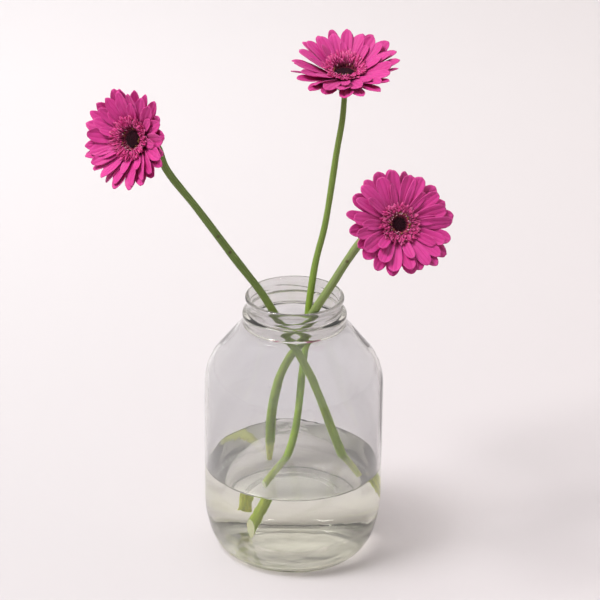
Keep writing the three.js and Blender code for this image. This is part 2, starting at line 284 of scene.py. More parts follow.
class Graph:
    """A node tree being built."""

    def __init__(self, tree):
        self.tree = tree

    def add(self, kind, settings=None, sockets=None, output=0):
        """Adds a node: its settings first, then its sockets' values or links. Returns one output."""
        node = self.tree.nodes.new(kind)
        for name, setting in (settings or {}).items():
            setattr(node, name, setting)
        for name, value in (sockets or {}).items():
            if isinstance(value, Value):
                self.tree.links.new(value.socket, node.inputs[name])
            else:
                node.inputs[name].default_value = value
        return Value(self, node.outputs[output]) if len(node.outputs) else node

    def also(self, value, output):
        """Another output of the node that value comes from."""
        return Value(self, value.socket.node.outputs[output])

    def noise(self, coordinates, scale, detail=2.0, roughness=0.5):
        sockets = {"Vector": coordinates, "Scale": scale, "Detail": detail, "Roughness": roughness}
        return self.add("ShaderNodeTexNoise", {}, sockets)

    def join(self, x, y, z):
        return self.add("ShaderNodeCombineXYZ", {}, {"X": x, "Y": y, "Z": z})

    def attribute(self, name):
        """A number that the mesh holds for each point, in a shader."""
        return self.add("ShaderNodeAttribute", {"attribute_name": name}, {}, "Fac")

    def stored(self, name):
        """A number that the mesh holds for each point, in a tree that makes shapes."""
        settings = {"data_type": "FLOAT"}
        return self.add("GeometryNodeInputNamedAttribute", settings, {"Name": name}, "Attribute")

    def blend(self, factor, first, second):
        """Mixes two colours."""
        settings = {"data_type": "RGBA", "blend_type": "MIX", "clamp_factor": True}
        node_sockets = {0: factor, 6: self._colour(first), 7: self._colour(second)}
        return self.add("ShaderNodeMix", settings, node_sockets, 2)

    @staticmethod
    def _colour(colour):
        return colour if isinstance(colour, Value) else (*colour, 1)


class Material(Graph):
    """A material with one Principled shader."""

    def __init__(self, name):
        self.material = bpy.data.materials.new(name)
        self.material.use_nodes = True
        super().__init__(self.material.node_tree)
        self.tree.nodes.clear()
        self.place = self.add("ShaderNodeTexCoord", {}, {}, "Object")

    def bump(self, height, strength, distance):
        sockets = {"Height": height, "Strength": strength, "Distance": distance}
        return self.add("ShaderNodeBump", {}, sockets)

    def shade(self, **sockets):
        """Finishes the material with a Principled shader. Names have underscores for spaces."""
        named = {name.replace("_", " "): value for name, value in sockets.items()}
        shader = self.add("ShaderNodeBsdfPrincipled", {}, named)
        self.add("ShaderNodeOutputMaterial", {}, {"Surface": shader})


def srgb(red, green, blue):
    """A colour from the 0 to 255 values that a screen shows."""
    def linear(level):
        share = level / 255
        return share / 12.92 if share <= 0.04045 else ((share + 0.055) / 1.055) ** 2.4
    return tuple(linear(level) for level in (red, green, blue))


# Materials

def petal_material():
    """Magenta petals: fine lengthwise veins and a paler rim, with painted shade that makes the root and the
    middle groove deeper.
    """
    m = Material("petal magenta")
    along = m.attribute("along")
    across = m.attribute("across")
    tone = m.attribute("tone")
    fine = m.join(along * 3, across * 9 + tone * 40, tone * 17)
    veins = m.noise(fine, 1.6, 3, 0.6)
    lines = (across * 26 + m.noise(fine, 0.7) * 6).sin() * 0.5 + 0.5
    mottling = m.noise(m.place, 160, 3)
    groove = abs(across).bell(0.3, 0.09)
    deep = srgb(145, 9, 83)
    full = srgb(196, 34, 130)
    pale = srgb(216, 90, 163)
    # Painted shade: the petal grows deeper towards its root, under the ruff.
    body = m.blend(along.ramp(0.05, 0.6), deep, full)
    lined = m.blend((lines * 0.12 + veins * 0.3) * (1 - groove * 0.4), body, pale)
    # Painted shade: the middle groove is darkened, as a crease in shade.
    groove_shaded = m.blend(groove * along.ramp(0.1, 0.4) * 0.2, lined, deep)
    rim = abs(across).ramp(0.88, 1) * 0.3 + along.ramp(0.92, 1) * 0.25
    rimmed = m.blend(rim, groove_shaded, pale)
    toned = m.blend(tone * 0.3, rimmed, srgb(178, 22, 108))
    colour = m.blend(mottling.ramp(0.35, 0.8) * 0.15, toned, deep)
    relief = lines * 0.3 + veins * 0.5 + mottling * 0.2
    m.shade(
        Base_Color=colour,
        Roughness=0.5 + veins * 0.16,
        Normal=m.bump(relief, 0.35, 0.0003),
        Subsurface_Weight=0.1,
        Subsurface_Radius=(0.6, 0.12, 0.3),
        Subsurface_Scale=0.002,
        Specular_IOR_Level=0.3,
        Sheen_Weight=0.1,
        Sheen_Roughness=0.45,
    )
    return m.material


def ruff_material():
    """Small ruff florets: dark crimson at the root, which is painted shade, magenta along, and a painted
    highlight, pinkish white, on the tip of some.
    """
    m = Material("ruff magenta")
    along = m.attribute("along")
    across = m.attribute("across")
    tone = m.attribute("tone")
    grain = m.noise(m.join(along * 4, across * 3 + tone * 30, tone * 11), 2.2, 2)
    # Painted shade: the dark crimson root colour stands for the shade in the gaps between the florets.
    root = srgb(96, 6, 42)
    full = srgb(194, 31, 117)
    # A pale pink for random grain flecks, and for the painted highlight on the tips.
    light = srgb(222, 106, 160)
    body = m.blend(along.ramp(0.35, 0.85), root, full)
    lit = m.blend(grain.ramp(0.4, 0.75) * 0.2, body, light)
    # Painted highlight: a pinkish white tip on some florets.
    tip = along.ramp(0.7, 0.95) * (tone.ramp(0.2, 1) * 0.75 + 0.1)
    m.shade(
        Base_Color=m.blend(tip, lit, light),
        Roughness=0.45 + grain * 0.2,
        Normal=m.bump(grain, 0.3, 0.0002),
        Subsurface_Weight=0.1,
        Subsurface_Radius=(0.6, 0.12, 0.3),
        Subsurface_Scale=0.002,
        Specular_IOR_Level=0.35,
    )
    return m.material


def thread_material():
    """Threads round the disc, crimson below, some with olive yellow and some with pinkish white tips."""
    m = Material("pollen threads")
    along = m.attribute("along")
    tone = m.attribute("tone")
    grain = m.noise(m.place, 900, 2)
    stalk = m.blend(along.ramp(0.1, 0.6), srgb(110, 8, 50), srgb(196, 40, 112))
    tip = m.blend(tone.ramp(0.4, 0.5), srgb(124, 90, 38), srgb(216, 152, 176))
    colour = m.blend(along.ramp(0.6, 0.76), stalk, tip)
    m.shade(
        Base_Color=m.blend(grain * 0.2, colour, srgb(120, 60, 40)),
        Roughness=0.5 + grain * 0.25,
        Normal=m.bump(grain, 0.4, 0.0001),
    )
    return m.material


def disc_material():
    """Nearly black maroon buds of the disc, with a painted highlight, a little redder, on top of each."""
    m = Material("disc maroon")
    tone = m.attribute("tone")
    height = m.attribute("along")
    grain = m.noise(m.place, 700, 3)
    base = m.blend(tone, srgb(16, 2, 8), srgb(34, 5, 18))
    # Painted highlight: the top of each bud is a little redder, in grainy flecks.
    colour = m.blend(height.ramp(0.7, 1) * grain * 0.35, base, srgb(96, 20, 50))
    m.shade(
        Base_Color=colour,
        Roughness=0.55 + grain * 0.3,
        Normal=m.bump(grain, 0.5, 0.0002),
        Specular_IOR_Level=0.15,
    )
    return m.material


def stem_material(name, low, high, underwater_lift, marks):
    """A green stem with fine lengthwise ribs, small flecks and brown marks, and a colour that shifts. The
    part under the water is painted paler and yellower, painted light that lifts it out of the shade there."""
    m = Material(name)
    along = m.attribute("along")
    around = m.attribute("around")
    cut = m.attribute("cut")
    patches = m.noise(m.place, 55, 3)
    streaks = m.noise(m.join(around * 3, along * 6, 0.0), 3.0, 3)
    flecks = m.noise(m.place, 480, 2).ramp(0.66, 0.72)
    ribs = (around * 11 * 2 * math.pi).sin() * 0.5 + 0.5
    height = m.also(m.add("ShaderNodeSeparateXYZ", {}, {"Vector": m.place}, "X"), "Z")
    fresh = m.blend(height.ramp(0.17, 0.26), low, high)
    # Painted light: below the water's level the green is lifted towards a pale yellow.
    green = m.blend((1 - height.ramp(0.05, 0.08)) * underwater_lift, fresh, srgb(244, 246, 122))
    streaked = m.blend(streaks.ramp(0.35, 0.75) * 0.5, green, srgb(104, 130, 48))
    ribbed = m.blend(ribs * 0.18, streaked, srgb(176, 196, 112))
    patched = m.blend(patches.ramp(0.45, 0.75) * 0.25, ribbed, srgb(84, 112, 40))
    colour = m.blend(flecks * 0.35, patched, srgb(92, 80, 40))
    for mark in marks:
        centre = tuple(value * MM for value in mark)
        away = m.add("ShaderNodeVectorMath", {"operation": "DISTANCE"}, {0: m.place, 1: centre}, "Value")
        colour = m.blend((1 - away.ramp(0.0006, 0.0022)) * 0.8, colour, srgb(70, 52, 26))
    m.shade(
        Base_Color=m.blend(cut, colour, srgb(244, 248, 204)),
        Roughness=0.5 + streaks * 0.2,
        Normal=m.bump(ribs * 0.6 + patches * 0.4, 0.3, 0.0003),
        Subsurface_Weight=0.15,
        Subsurface_Radius=(0.3, 0.5, 0.1),
        Subsurface_Scale=0.002,
        Specular_IOR_Level=0.4,
    )
    return m.material


def bract_material():
    """Green bracts with a paler edge and a purple tinge towards the tip."""
    m = Material("bract green")
    along = m.attribute("along")
    across = m.attribute("across")
    tone = m.attribute("tone")
    lines = m.noise(m.join(along * 2, across * 6 + tone * 20, tone * 5), 3, 2)
    green = m.blend(lines, srgb(92, 116, 44), srgb(138, 158, 78))
    edged = m.blend(abs(across).ramp(0.7, 1) * 0.5, green, srgb(176, 186, 120))
    m.shade(
        Base_Color=m.blend(along.ramp(0.75, 1) * 0.5, edged, srgb(112, 60, 66)),
        Roughness=0.55 + lines * 0.2,
        Normal=m.bump(lines, 0.3, 0.0002),
    )
    return m.material


def hair_material():
    """Short pale hairs."""
    m = Material("stem hairs")
    shift = m.noise(m.place, 300, 1)
    m.shade(
        Base_Color=m.blend(shift, srgb(190, 206, 150), srgb(222, 230, 196)),
        Roughness=0.6 + shift * 0.2,
    )
    return m.material


GLASS = {
    "tint": (236, 236, 239), "neck_tint": (226, 225, 226), "low_tint": (246, 246, 243), "refraction": 1.5,
    "contact": 1.125, "clearness": 0.985, "smudges": 0.02, "waves": 0.5, "foot_dots": 0.85,
    "absorbed": (0.6, 0.63, 0.25), "density": 13, "lamp_share": 1.0, "edge_shade": 0.5,
}
CLEAR_WATER = {
    "tint": (250, 249, 247), "neck_tint": (250, 249, 247), "low_tint": (250, 249, 247), "refraction": 1.333,
    "contact": None, "clearness": 0.945, "smudges": 0.0, "waves": 0.15, "foot_dots": 0.0,
    "absorbed": (0.95, 0.955, 0.88), "density": 2.6, "lamp_share": 0.5, "edge_shade": 1.5,
}


def clear_material(name, look):
    """Clear glass or water with a slight haze, purer and wavier low down, with frosted dots round the foot
    that are painted dark as painted shade.
    Where the two touch, the glass alone bends the light, by how much they differ. Part of the lamps' light
    goes straight through, least where it comes edge on. Long paths take on the absorbing colour."""
    m = Material(name)
    patches = m.noise(m.place, 26, 3)
    x = m.add("ShaderNodeSeparateXYZ", {}, {"Vector": m.place}, "X")
    y, height = m.also(x, "Y"), m.also(x, "Z")
    low, high = 1 - height.ramp(0.06, 0.09), height.ramp(0.198, 0.208)
    ripples = m.noise(m.place, 55, 2) * low
    tint = srgb(*look["tint"])
    mottled = m.blend(patches * 0.25, tint, tuple(level * 0.98 for level in tint))
    plain = m.blend(high, m.blend(low, mottled, srgb(*look["low_tint"])), srgb(*look["neck_tint"]))
    ring = (x * x + y * y).sqrt().bell(0.0546, 0.0012) * (1 - height.ramp(0.0015, 0.003))
    # The foot's dots are rougher, which is real, and painted dark, which is painted shade.
    frosted_shaded_dots = (y.direction(x) * JAR["knurls"]).cos().ramp(-0.1, 0.5) * ring * look["foot_dots"]
    shared = {
        "Base Color": m.blend(frosted_shaded_dots, plain, srgb(84, 84, 78)),
        "Roughness": patches.ramp(0.45, 0.8) * look["smudges"] + frosted_shaded_dots * 0.3,
        "Transmission Weight": look["clearness"],
        "Normal": m.bump(m.noise(m.place, 14, 1) + ripples, look["waves"], 0.0006),
    }
    in_air = m.add("ShaderNodeBsdfPrincipled", {}, {**shared, "IOR": look["refraction"]})
    if look["contact"]:
        touching = m.add("ShaderNodeBsdfPrincipled", {}, {**shared, "IOR": look["contact"]})
    else:
        touching = m.add("ShaderNodeBsdfTransparent")
    wet = m.attribute("wet") * height.ramp(0.02, 0.034) * (1 - height.ramp(0.0758, 0.0763))
    shader = m.add("ShaderNodeMixShader", {}, {0: wet, 1: in_air, 2: touching})
    edge_on = m.add("ShaderNodeLayerWeight", {}, {"Blend": 0.5}, "Facing")
    lamp_ray = m.add("ShaderNodeLightPath", {}, {}, "Is Shadow Ray")
    through = m.add("ShaderNodeBsdfTransparent", {}, {"Color": (0.985, 0.98, 0.99, 1)})
    inside = m.add("ShaderNodeVolumeAbsorption", {}, {
        "Color": (*look["absorbed"], 1), "Density": look["density"],
    })
    share = (look["lamp_share"] - edge_on * edge_on * look["edge_shade"]).at_least(0)
    surface = m.add("ShaderNodeMixShader", {}, {0: lamp_ray * share, 1: shader, 2: through})
    m.add("ShaderNodeOutputMaterial", {}, {"Surface": surface, "Volume": inside})
    return m.material


def floor_material():
    """A pale floor with painted light: a little lighter far off and faintly pink on the right, and a painted
    pool of light, palest, under the jar.
    """
    m = Material("pale floor")
    x = m.add("ShaderNodeSeparateXYZ", {}, {"Vector": m.place}, "X")
    y = m.also(x, "Y")
    # Painted light: the colour grows lighter far off, most at the far left, as the light falls.
    sideways = x.ramp(-0.45, 0.5)
    depth = y.ramp(-0.3, 1.3)
    near = m.blend(sideways, srgb(202, 197, 198), srgb(206, 199, 200))
    far = m.blend(sideways, srgb(224, 220, 221), srgb(217, 211, 211))
    soft = m.noise(m.place, 2.5, 2)
    plain = m.blend(soft * 0.1, m.blend(depth, near, far), srgb(212, 207, 207))
    # A painted pool of light under the jar, palest where the water gathers the light.
    under = 1 - (x * x + y * y).sqrt().ramp(0.04, 0.055)
    m.shade(
        Base_Color=m.blend(under, plain, srgb(240, 237, 234)),
        Roughness=0.9,
        Specular_IOR_Level=0.0,
    )
    return m.material


# Meshes

def mesh_object(name, points, faces, fields=None):
    """A mesh object at the origin, with its points in metres and its number fields for each point."""
    mesh = bpy.data.meshes.new(name)
    mesh.from_pydata([tuple(p) for p in points], [], faces)
    for field, numbers in (fields or {}).items():
        attribute = mesh.attributes.new(field, "FLOAT", "POINT")
        attribute.data.foreach_set("value", np.asarray(numbers, np.float32))
    mesh.update()
    piece = bpy.data.objects.new(name, mesh)
    bpy.context.scene.collection.objects.link(piece)
    return piece


def finish_mesh(piece, material=None):
    """Merges doubled points, turns the faces outwards and smooths the shading."""
    shape = bmesh.new()
    shape.from_mesh(piece.data)
    bmesh.ops.remove_doubles(shape, verts=shape.verts, dist=1e-6)
    bmesh.ops.recalc_face_normals(shape, faces=shape.faces)
    for face in shape.faces:
        face.smooth = True
    shape.to_mesh(piece.data)
    shape.free()
    if material:
        piece.data.materials.clear()
        piece.data.materials.append(material)
    return piece


def skin(rings, closed_ends=True):
    """Quads between rings of equal count that close round, with flat caps where the ends are closed."""
    count = len(rings[0])
    points = np.concatenate(rings)
    faces = []
    for i in range(len(rings) - 1):
        for j in range(count):
            a = i * count + j
            b = i * count + (j + 1) % count
            faces.append((a, b, b + count, a + count))
    if closed_ends:
        last = (len(rings) - 1) * count
        faces.append(tuple(reversed(range(count))))
        faces.append(tuple(range(last, last + count)))
    return points, faces


def rounded(points, times=2):
    """Cuts a polyline's corners so that they turn round."""
    line = [tuple(p) for p in points]
    for _ in range(times):
        cut = [line[0]]
        for (r0, z0), (r1, z1) in zip(line, line[1:]):
            cut.append((0.75 * r0 + 0.25 * r1, 0.75 * z0 + 0.25 * z1))
            cut.append((0.25 * r0 + 0.75 * r1, 0.25 * z0 + 0.75 * z1))
        line = cut + [line[-1]]
    return line


def walked(line, gap_at):
    """The same line with points as far apart as the rule gap_at says for each place."""
    line = np.array(line, float)
    run = np.concatenate([[0], np.cumsum(np.hypot(*np.diff(line, axis=0).T))])
    at = [0.0]
    while at[-1] < run[-1]:
        r, z = (np.interp(at[-1], run, line[:, k]) for k in (0, 1))
        at.append(at[-1] + gap_at(r, z))
    at = np.array(at) * run[-1] / at[-1]
    return np.stack([np.interp(at, run, line[:, 0]), np.interp(at, run, line[:, 1])], 1)


def evened(line, step):
    return walked(line, lambda r, z: step)


# The jar

def heel_curve(start, end, bottom, top, steps=40):
    """A superellipse quarter from the foot up to the wall."""
    angles = [math.pi / 2 * (i + 1) / steps for i in range(steps)]
    width, height, power = end - start, top - bottom, JAR["heel_power"]
    return [(start + width * math.sin(a) ** power, bottom + height * (1 - math.cos(a))) for a in angles]


def shoulder_curve(radius, steps=24):
    centre = JAR["body_radius"] - JAR["shoulder_radius"]
    angles = [math.radians(JAR["shoulder_sweep"]) * i / steps for i in range(steps + 1)]
    return [(centre + radius * math.cos(a), JAR["shoulder_start"] + radius * math.sin(a)) for a in angles]


def jar_outside():
    """The outside, from the middle of the underside over the foot and the wall up to the lip."""
    neck, bead, lip, top = JAR["neck_radius"], JAR["bead_radius"], JAR["lip_radius"], JAR["height"]
    start, level, gap = JAR["neck_start"], JAR["bead_height"], JAR["foot_gap"]
    foot, punt = JAR["foot_radius"], JAR["punt_radius"]
    inner = foot - JAR["foot_width"]
    underside = rounded([
        (0.5, JAR["punt_depth"]), (punt - 2, JAR["punt_depth"]), (punt, JAR["punt_depth"] - 0.6),
        (punt + 2, JAR["hollow_depth"]), (inner - 5, JAR["hollow_depth"]), (inner - 2, gap + 0.1),
        (inner, gap), (foot - 0.5, gap), (foot, gap + 0.1),
    ])
    heel = heel_curve(foot, JAR["body_radius"], 0, JAR["heel_height"])
    wall = [point for point in heel if point[1] > gap + 0.2] + shoulder_curve(JAR["shoulder_radius"])
    neck_line = rounded([
        wall[-1], (neck + 6.6, start - 3.9), (neck + 4.6, start - 1.4), (neck + 3.2, start + 0.6),
        (neck + 2.9, level - 4.8), (bead - 0.6, level - 3), (bead, level - 1.4), (bead, level + 0.9),
        (bead - 1.2, level + 2.3), (neck + 0.1, level + 3.4), (neck, level + 4.4), (neck, top - 4.8),
        (lip - 0.4, top - 3.6), (lip, top - 2.4), (lip, top - 1.3), (lip - 0.7, top - 0.1), (lip - 2.2, top),
    ], 3)
    return underside + wall + neck_line[1:]


def jar_inside():
    """The inside in two parts: from the lip down to the heel, and the heel and the floor."""
    bore, start, top, wall = JAR["neck_bore"], JAR["neck_start"], JAR["height"], JAR["wall"]
    shoulder = shoulder_curve(JAR["shoulder_radius"] - wall)[::-1]
    neck_line = rounded([
        (JAR["lip_radius"] - 2.2, top), (bore + 1, top - 0.3), (bore + 0.2, top - 1.8), (bore, top - 4),
        (bore, start + 3), (bore, start - 0.4), (bore + 0.5, start - 1.1), (bore + 2, start - 1.5),
        (bore + 3.4, start - 1.8), (bore + 4.2, start - 2.2), (bore + 8.6, start - 6.2), shoulder[0],
    ], 3)
    heel = heel_curve(JAR["floor_radius"], JAR["body_radius"] - wall, JAR["floor_edge"], JAR["heel_height"])
    floor = [(JAR["floor_radius"], JAR["floor_edge"]), (JAR["floor_radius"] / 2, JAR["floor_centre"] - 1),
             (0.5, JAR["floor_centre"])]
    return neck_line + shoulder[1:], heel[::-1] + rounded(floor, 3)[1:]


def ring_gap(r, z, neck_gap):
    """How far apart the jar's rings are: close at the neck and the foot, wide on the straight wall."""
    if z > JAR["neck_start"] - 4:
        return neck_gap
    if z > JAR["neck_start"] - 11:
        return 1.0
    if z < 2 and r > JAR["knurl_ring"] - 4:
        return 0.45
    if z < 12 and r < JAR["punt_radius"] - 6:
        return 8
    return 7 if JAR["heel_height"] < z < JAR["shoulder_start"] - 3 else 3


def waves(angle, height, amount, seed):
    """Slow, uneven waves of blown glass, in millimetres."""
    total = 0
    for k, (turns, climb) in enumerate([(2, 0.021), (3, -0.034), (5, 0.05), (7, -0.027), (11, 0.041)]):
        phase = 2 * math.pi * chance(k, seed)
        total = total + np.sin(turns * angle + climb * height + phase) / (k + 1.5)
    return amount * total


def lug_swell(angle, height):
    """How far the screw threads stand out of the neck."""
    sweep = math.radians(LUG["sweep"])
    share = (angle % sweep) / sweep
    middle = LUG["start"] + LUG["rise"] * share
    fade = np.clip(5 * np.minimum(share, 1 - share) + 0.1, 0, 1)
    return LUG["depth"] * fade * np.exp(-((height - middle) / LUG["width"]) ** 2)


def turned_skin(line, shape, sides):
    """Rings round Z for the points of a line, each bent by the shape function."""
    angles = np.linspace(0, 2 * math.pi, sides, endpoint=False)
    rings = []
    for r, z in line:
        radius, height = shape(angles, np.full(sides, float(r)), np.full(sides, float(z)))
        rings.append(np.stack([radius * np.cos(angles), radius * np.sin(angles), height], 1) * MM)
    return rings


def knurl_drop(angle, r, z):
    """How far the small domes of the foot reach down, to the ground."""
    across = np.exp(-((r - JAR["knurl_ring"]) / JAR["knurl_width"]) ** 2) * (z < 2)
    return JAR["foot_gap"] * across * np.maximum(0, np.cos(JAR["knurls"] * angle))


def outside_shape(angle, r, z):
    body = np.clip((z - 12) / 30, 0, 1) * np.clip((200 - z) / 20, 0, 1)
    return r + waves(angle, z, 0.05, 1) * body + lug_swell(angle, z), z - knurl_drop(angle, r, z)


def inside_shape(angle, r, z):
    body = np.clip((z - 12) / 30, 0, 1) * np.clip((200 - z) / 20, 0, 1)
    low = np.clip(r / 30, 0, 1) * (z < 30)
    return r + waves(angle, z, 0.28, 2) * body, z + waves(angle, r, 0.25, 3) * low


def jar_piece(material):
    upper, lower = jar_inside()
    outer = walked(jar_outside(), lambda r, z: ring_gap(r, z, 0.6))
    inner = walked(upper + lower, lambda r, z: ring_gap(r, z, 0.7))
    rings = turned_skin(outer, outside_shape, JAR["sides"])
    rings += turned_skin(inner[1:], inside_shape, JAR["sides"])
    wet = np.repeat([0.0] * len(outer) + [1.0] * (len(inner) - 1), JAR["sides"])
    return finish_mesh(mesh_object("glass_jar", *skin(rings), {"wet": wet}), material)


def stem_crossings(level):
    """Where each stem's middle line passes the water's level, in millimetres."""
    crossings = []
    for flower in FLOWERS:
        line = stem_line(flower)
        i = int(np.argmax(line[:, 2] > level))
        crossings.append((line[i, 0], line[i, 1], flower["stem_radius"][0]))
    return crossings


def water_piece(material):
    """The water: it fills the jar a hair's breadth into the glass, and creeps up the glass and the stems."""
    sides, over, level, meniscus = (WATER[name] for name in ("sides", "overlap", "level", "meniscus"))
    wall = JAR["body_radius"] - JAR["wall"]
    lower = [(r + over * min(1, z / 20), z - over) for r, z in jar_inside()[1][::-1]]
    rings = turned_skin(evened([*lower, (wall + over, level + meniscus)], 2.0), inside_shape, sides)
    rim = rings[-1][:, :2] / MM
    side_count = len(rings)
    depths = np.concatenate([np.linspace(0.15, 1, 14) ** 2 * 12, np.linspace(13, wall - 1, 50)])
    for depth in depths:
        x, y = (rim * (1 - depth / (wall + over))).T
        z = np.full(sides, level + meniscus * math.exp(-depth / WATER["reach"]))
        for cx, cy, radius in stem_crossings(level):
            away = np.maximum(0, np.hypot(x - cx, y - cy) - radius)
            z = z + WATER["collar"] * np.exp(-away / WATER["collar_reach"])
        rings.append(np.stack([x, y, z], 1) * MM)
    wet = np.repeat([1.0] * side_count + [0.0] * (len(rings) - side_count), sides)
    return finish_mesh(mesh_object("jar_water", *skin(rings), {"wet": wet}), material)


# Stems

def head_frame(flower):
    """The bloom's frame: x runs level and y up the bloom's face, both as seen from its front."""
    face = Vector(flower["face"]).normalized()
    across = Vector((0, 0, 1)).cross(face).normalized()
    upwards = face.cross(across)
    origin = Vector(flower["centre"]) - EYE_TOP * face
    return Matrix((
        (across.x, upwards.x, face.x, origin.x),
        (across.y, upwards.y, face.y, origin.y),
        (across.z, upwards.z, face.z, origin.z),
        (0, 0, 0, 1),
    ))


def smooth_line(points, steps=40):
    """A centripetal Catmull-Rom curve through the points."""
    p = np.array(points, float)
    ends = np.vstack([2 * p[0] - p[1], p, 2 * p[-1] - p[-2]])
    parts = []
    for p0, p1, p2, p3 in zip(ends, ends[1:], ends[2:], ends[3:]):
        d0, d1, d2 = (np.sum((b - a) ** 2) ** 0.25 for a, b in ((p0, p1), (p1, p2), (p2, p3)))
        leave = ((p1 - p0) / d0 - (p2 - p0) / (d0 + d1) + (p2 - p1) / d1) * d1
        arrive = ((p2 - p1) / d1 - (p3 - p1) / (d1 + d2) + (p3 - p2) / d2) * d1
        t = np.linspace(0, 1, steps, endpoint=False)[:, None]
        parts.append(p1 + leave * t + (3 * (p2 - p1) - 2 * leave - arrive) * t ** 2
                     + (2 * (p1 - p2) + leave + arrive) * t ** 3)
    return np.vstack([*parts, p[-1:]])


def stem_line(flower):
    """The stem's middle line from its cut end to the bloom's cup, as in the CAD, in millimetres."""
    head = head_frame(flower)
    ends = [tuple(head @ Vector((0, 0, z))) for z in (NECK_BOTTOM, STEM_TOP)]
    return smooth_line([*flower["stem"], *ends])


def stem_sections(flower):
    """How far from the middle of the cut, where and how thick the stem is, and on through the cup under
    the bloom. The first sections lie before the middle of the cut, which is slanted."""
    line = stem_line(flower)
    trim = flower["end_trim"]
    run = np.concatenate([[0], np.cumsum(np.linalg.norm(np.diff(line, axis=0), axis=1))]) - trim
    start = (line[1] - line[0]) / np.linalg.norm(line[1] - line[0])
    head = np.array(head_frame(flower))
    low, high = flower["stem_radius"]
    cut = flower["cut_slant"] * low
    cup_start = run[-1] - (STEM_TOP - CUP[0][0])
    at = np.concatenate([np.arange(-cut, cut + 2, 0.7), np.arange(cut + 3, cup_start - 1.5, 1.6)])
    middles, radii = [], []
    for s in at:
        on_line = np.array([np.interp(s, run, line[:, k]) for k in range(3)])
        middles.append(on_line + start * min(0, s + trim))
        swell = 1 + 0.035 * math.sin(s / 17 + flower["seed"]) + 0.02 * math.sin(s / 7.3 + 2 * flower["seed"])
        end_share = flower["end_share"]
        taper = end_share + (1 - end_share) * min(1, max(0, s) / flower["end_run"])
        radii.append((low + (high - low) * s / run[-1]) * swell * taper)
    for z, radius in rounded(CUP, 1):
        middles.append(head[:3, 3] + head[:3, 2] * z)
        radii.append(max(radius, high))
    return at, np.array(middles), np.array(radii)


def carried_frames(middles):
    """Two directions across a line at each of its points, carried along it without twist."""
    tangents = np.gradient(middles, axis=0)
    tangents /= np.linalg.norm(tangents, axis=1)[:, None]
    side = np.cross(tangents[0], (0, 1, 0))
    sides = []
    for tangent in tangents:
        side = side - tangent * (side @ tangent)
        side = side / np.linalg.norm(side)
        sides.append(side)
    sides = np.array(sides)
    return tangents, sides, np.cross(tangents, sides)


def stem_piece(flower, material):
    """The stem and the cup in one skin, with fine ribs and a slanted cut."""
    sides = 44
    at, middles, radii = stem_sections(flower)
    tangents, across, upwards = carried_frames(middles)
    faces_to = np.array(flower["cut_faces"])
    faces_to = faces_to - tangents[0] * (faces_to @ tangents[0])
    faces_to /= np.linalg.norm(faces_to)
    turn = np.linspace(0, 2 * math.pi, sides, endpoint=False)
    ribs = 1 + 0.018 * np.cos(11 * turn)
    rings, along, around, cut = [], [], [], []
    for i, (middle, radius) in enumerate(zip(middles, radii)):
        out = radius * ribs
        offset = np.outer(out * np.cos(turn), across[i]) + np.outer(out * np.sin(turn), upwards[i])
        ring = middle + offset
        if i < len(at):
            behind = np.maximum(0, offset @ faces_to * flower["cut_slant"] - at[i])
            ring = ring + np.outer(behind, tangents[0])
        rings.append(ring * MM)
        along.append(np.full(sides, max(0, at[i] / at[-1]) if i < len(at) else 1.0))
        around.append(turn / (2 * math.pi))
        cut.append(np.zeros(sides))
    first = rings[0]
    ends = [first.mean(0) + (first - first.mean(0)) * share for share in (0.02, 0.5, 0.93)]
    points, faces = skin([*ends, *rings])
    fields = {
        "along": np.concatenate([np.zeros(3 * sides), *along]),
        "around": np.concatenate([*[turn / (2 * math.pi)] * 3, *around]),
        "cut": np.concatenate([np.ones(3 * sides), *cut]),
    }
    piece = mesh_object(f"{flower['name']}_flower_stem", points, faces, fields)
    return finish_mesh(piece, material)


# Blades: rays, ruff florets, threads and bracts are blades set round an axis by one tree of nodes

BLADE_FIELDS = ("azimuth", "slope", "bend", "length", "width", "root", "height", "roll", "twist", "yaw",
                "curl", "tone")


